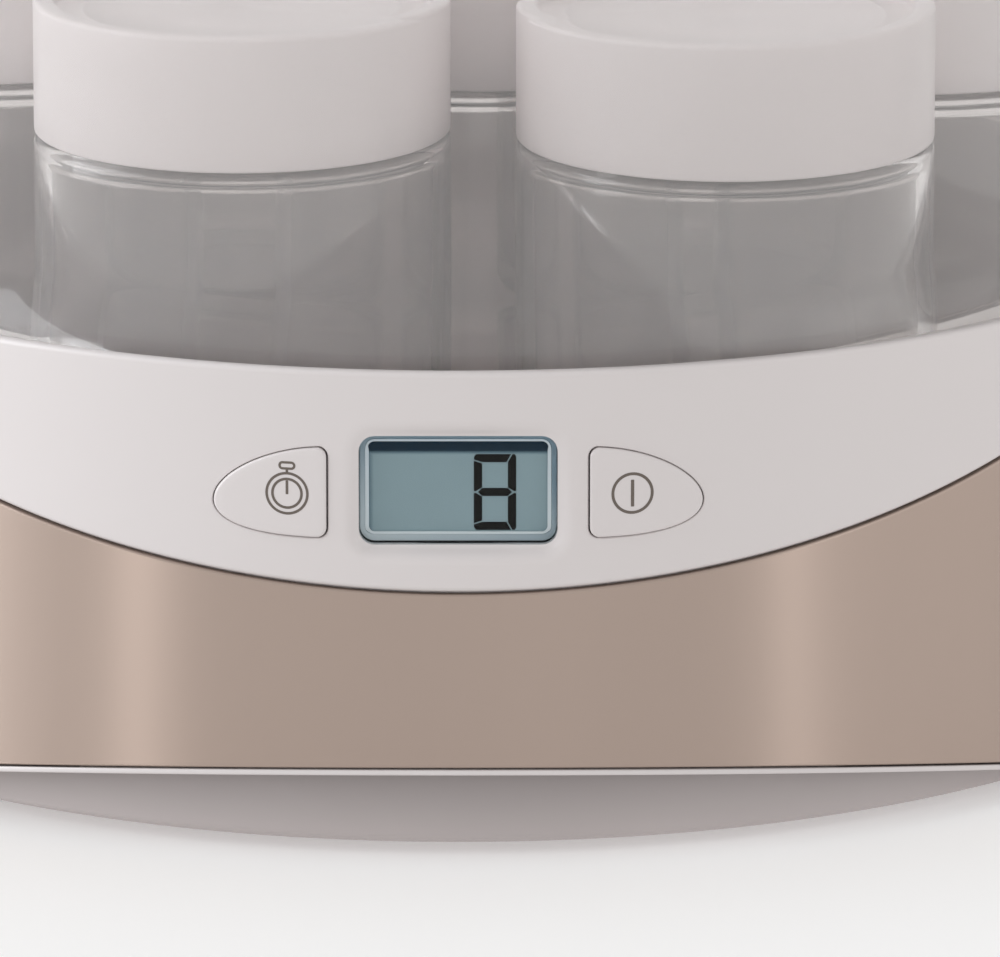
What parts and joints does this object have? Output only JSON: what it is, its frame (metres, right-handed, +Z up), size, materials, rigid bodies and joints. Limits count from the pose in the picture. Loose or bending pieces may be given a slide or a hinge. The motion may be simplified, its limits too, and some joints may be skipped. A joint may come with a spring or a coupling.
{
  "type": "yogurt maker",
  "caption": "Round electric yogurt maker: white and taupe base with display and two leaf keys, clear lid, screw-capped glass jars in a heated bowl.",
  "frame": {"origin": "on the table under the middle of the base", "axes": "+Z up, the display and keys face -Y, +X to the right seen from the front"},
  "size_m": [0.2638, 0.2631, 0.1514],
  "materials": {
    "white_plastic": "moulded white plastic, soft gloss",
    "taupe_band": "satin taupe metallic",
    "bowl_plastic": "warm grey moulded plastic, satin",
    "lid_plastic": "clear polished plastic",
    "jar_glass": "clear pressed glass",
    "window_plastic": "clear bevelled plastic lens",
    "lcd": "grey-blue segment display with one dark digit",
    "black_plastic": "black moulded plastic",
    "connector_plastic": "off-white connector plastic",
    "circuit_board": "green solder mask",
    "flat_cable": "grey ribbed flat cable",
    "silicone_lead": "red-brown silicone sleeve",
    "spreader_aluminium": "rolled sheet, satin",
    "element_steel": "drawn steel tube, dull",
    "sensor_body": "black epoxy bead",
    "screw_steel": "zinc plated steel",
    "rubber": "dark grey moulded rubber"
  },
  "bodies": {
    "base": {"base_pan": "white_plastic", "base_screw_1": "screw_steel", "base_screw_2": "screw_steel", "base_screw_3": "screw_steel", "base_screw_4": "screw_steel", "board_cable": "flat_cable", "board_screw_1": "screw_steel", "board_screw_2": "screw_steel", "bowl": "bowl_plastic", "capacitor": "black_plastic", "control_board": "circuit_board", "controller_chip": "black_plastic", "cord_bush": "rubber", "cord_clamp": "black_plastic", "display_frame": "black_plastic", "display_window": "window_plastic", "element_clip_1": "element_steel", "element_clip_2": "element_steel", "element_clip_3": "element_steel", "foot_1": "rubber", "foot_2": "rubber", "foot_3": "rubber", "foot_4": "rubber", "heat_spreader": "spreader_aluminium", "heater_lead_1": "silicone_lead", "heater_lead_2": "silicone_lead", "heating_element": "element_steel", "lcd_module": "lcd", "power_board": "circuit_board", "power_switch": "black_plastic", "relay": "black_plastic", "sensor_bracket": "element_steel", "side_band": "taupe_band", "temperature_sensor": "sensor_body", "terminal_block": "connector_plastic", "thermal_fuse": "element_steel", "timer_switch": "black_plastic", "transformer": "black_plastic", "upper_housing": "white_plastic"},
    "lid": {"lid": "lid_plastic"},
    "timer_button": {"timer_button": "white_plastic"},
    "power_button": {"power_button": "white_plastic"},
    "jar_1": {"jar_1": "jar_glass"},
    "jar_2": {"jar_2": "jar_glass"},
    "jar_3": {"jar_3": "jar_glass"},
    "jar_4": {"jar_4": "jar_glass"},
    "jar_5": {"jar_5": "jar_glass"},
    "jar_6": {"jar_6": "jar_glass"},
    "jar_7": {"jar_7": "jar_glass"},
    "cap_1": {"cap_1": "white_plastic"},
    "cap_2": {"cap_2": "white_plastic"},
    "cap_3": {"cap_3": "white_plastic"},
    "cap_4": {"cap_4": "white_plastic"},
    "cap_5": {"cap_5": "white_plastic"},
    "cap_6": {"cap_6": "white_plastic"},
    "cap_7": {"cap_7": "white_plastic"}
  },
  "joints": [
    {"name": "lid_lift", "type": "slide", "parent": "base", "child": "lid", "axis": [0, 0, 1], "range_m": [0, 0.26]},
    {"name": "jar_1_lift", "type": "slide", "parent": "base", "child": "jar_1", "axis": [0, 0, 1], "range_m": [0, 0.104]},
    {"name": "cap_1_lift", "type": "slide", "parent": "jar_1", "child": "cap_1", "axis": [0, 0, 1], "range_m": [0, 0.026]},
    {"name": "jar_2_lift", "type": "slide", "parent": "base", "child": "jar_2", "axis": [0, 0, 1], "range_m": [0, 0.104]},
    {"name": "cap_2_lift", "type": "slide", "parent": "jar_2", "child": "cap_2", "axis": [0, 0, 1], "range_m": [0, 0.026]},
    {"name": "jar_3_lift", "type": "slide", "parent": "base", "child": "jar_3", "axis": [0, 0, 1], "range_m": [0, 0.104]},
    {"name": "cap_3_lift", "type": "slide", "parent": "jar_3", "child": "cap_3", "axis": [0, 0, 1], "range_m": [0, 0.026]},
    {"name": "jar_4_lift", "type": "slide", "parent": "base", "child": "jar_4", "axis": [0, 0, 1], "range_m": [0, 0.104]},
    {"name": "cap_4_lift", "type": "slide", "parent": "jar_4", "child": "cap_4", "axis": [0, 0, 1], "range_m": [0, 0.026]},
    {"name": "jar_5_lift", "type": "slide", "parent": "base", "child": "jar_5", "axis": [0, 0, 1], "range_m": [0, 0.104]},
    {"name": "cap_5_lift", "type": "slide", "parent": "jar_5", "child": "cap_5", "axis": [0, 0, 1], "range_m": [0, 0.026]},
    {"name": "jar_6_lift", "type": "slide", "parent": "base", "child": "jar_6", "axis": [0, 0, 1], "range_m": [0, 0.104]},
    {"name": "cap_6_lift", "type": "slide", "parent": "jar_6", "child": "cap_6", "axis": [0, 0, 1], "range_m": [0, 0.026]},
    {"name": "jar_7_lift", "type": "slide", "parent": "base", "child": "jar_7", "axis": [0, 0, 1], "range_m": [0, 0.104]},
    {"name": "cap_7_lift", "type": "slide", "parent": "jar_7", "child": "cap_7", "axis": [0, 0, 1], "range_m": [0, 0.026]},
    {"name": "timer_press", "type": "slide", "parent": "base", "child": "timer_button", "axis": [0, 1, 0], "range_m": [0, 0.0006], "stiffness_N_per_m": 2000},
    {"name": "power_press", "type": "slide", "parent": "base", "child": "power_button", "axis": [0, 1, 0], "range_m": [0, 0.0006], "stiffness_N_per_m": 2000}
  ],
  "couplings": [
    {"joint": "jar_1_lift", "follows": "lid_lift", "ratio": 0.4},
    {"joint": "cap_1_lift", "follows": "lid_lift", "ratio": 0.1},
    {"joint": "jar_2_lift", "follows": "lid_lift", "ratio": 0.4},
    {"joint": "cap_2_lift", "follows": "lid_lift", "ratio": 0.1},
    {"joint": "jar_3_lift", "follows": "lid_lift", "ratio": 0.4},
    {"joint": "cap_3_lift", "follows": "lid_lift", "ratio": 0.1},
    {"joint": "jar_4_lift", "follows": "lid_lift", "ratio": 0.4},
    {"joint": "cap_4_lift", "follows": "lid_lift", "ratio": 0.1},
    {"joint": "jar_5_lift", "follows": "lid_lift", "ratio": 0.4},
    {"joint": "cap_5_lift", "follows": "lid_lift", "ratio": 0.1},
    {"joint": "jar_6_lift", "follows": "lid_lift", "ratio": 0.4},
    {"joint": "cap_6_lift", "follows": "lid_lift", "ratio": 0.1},
    {"joint": "jar_7_lift", "follows": "lid_lift", "ratio": 0.4},
    {"joint": "cap_7_lift", "follows": "lid_lift", "ratio": 0.1}
  ]
}
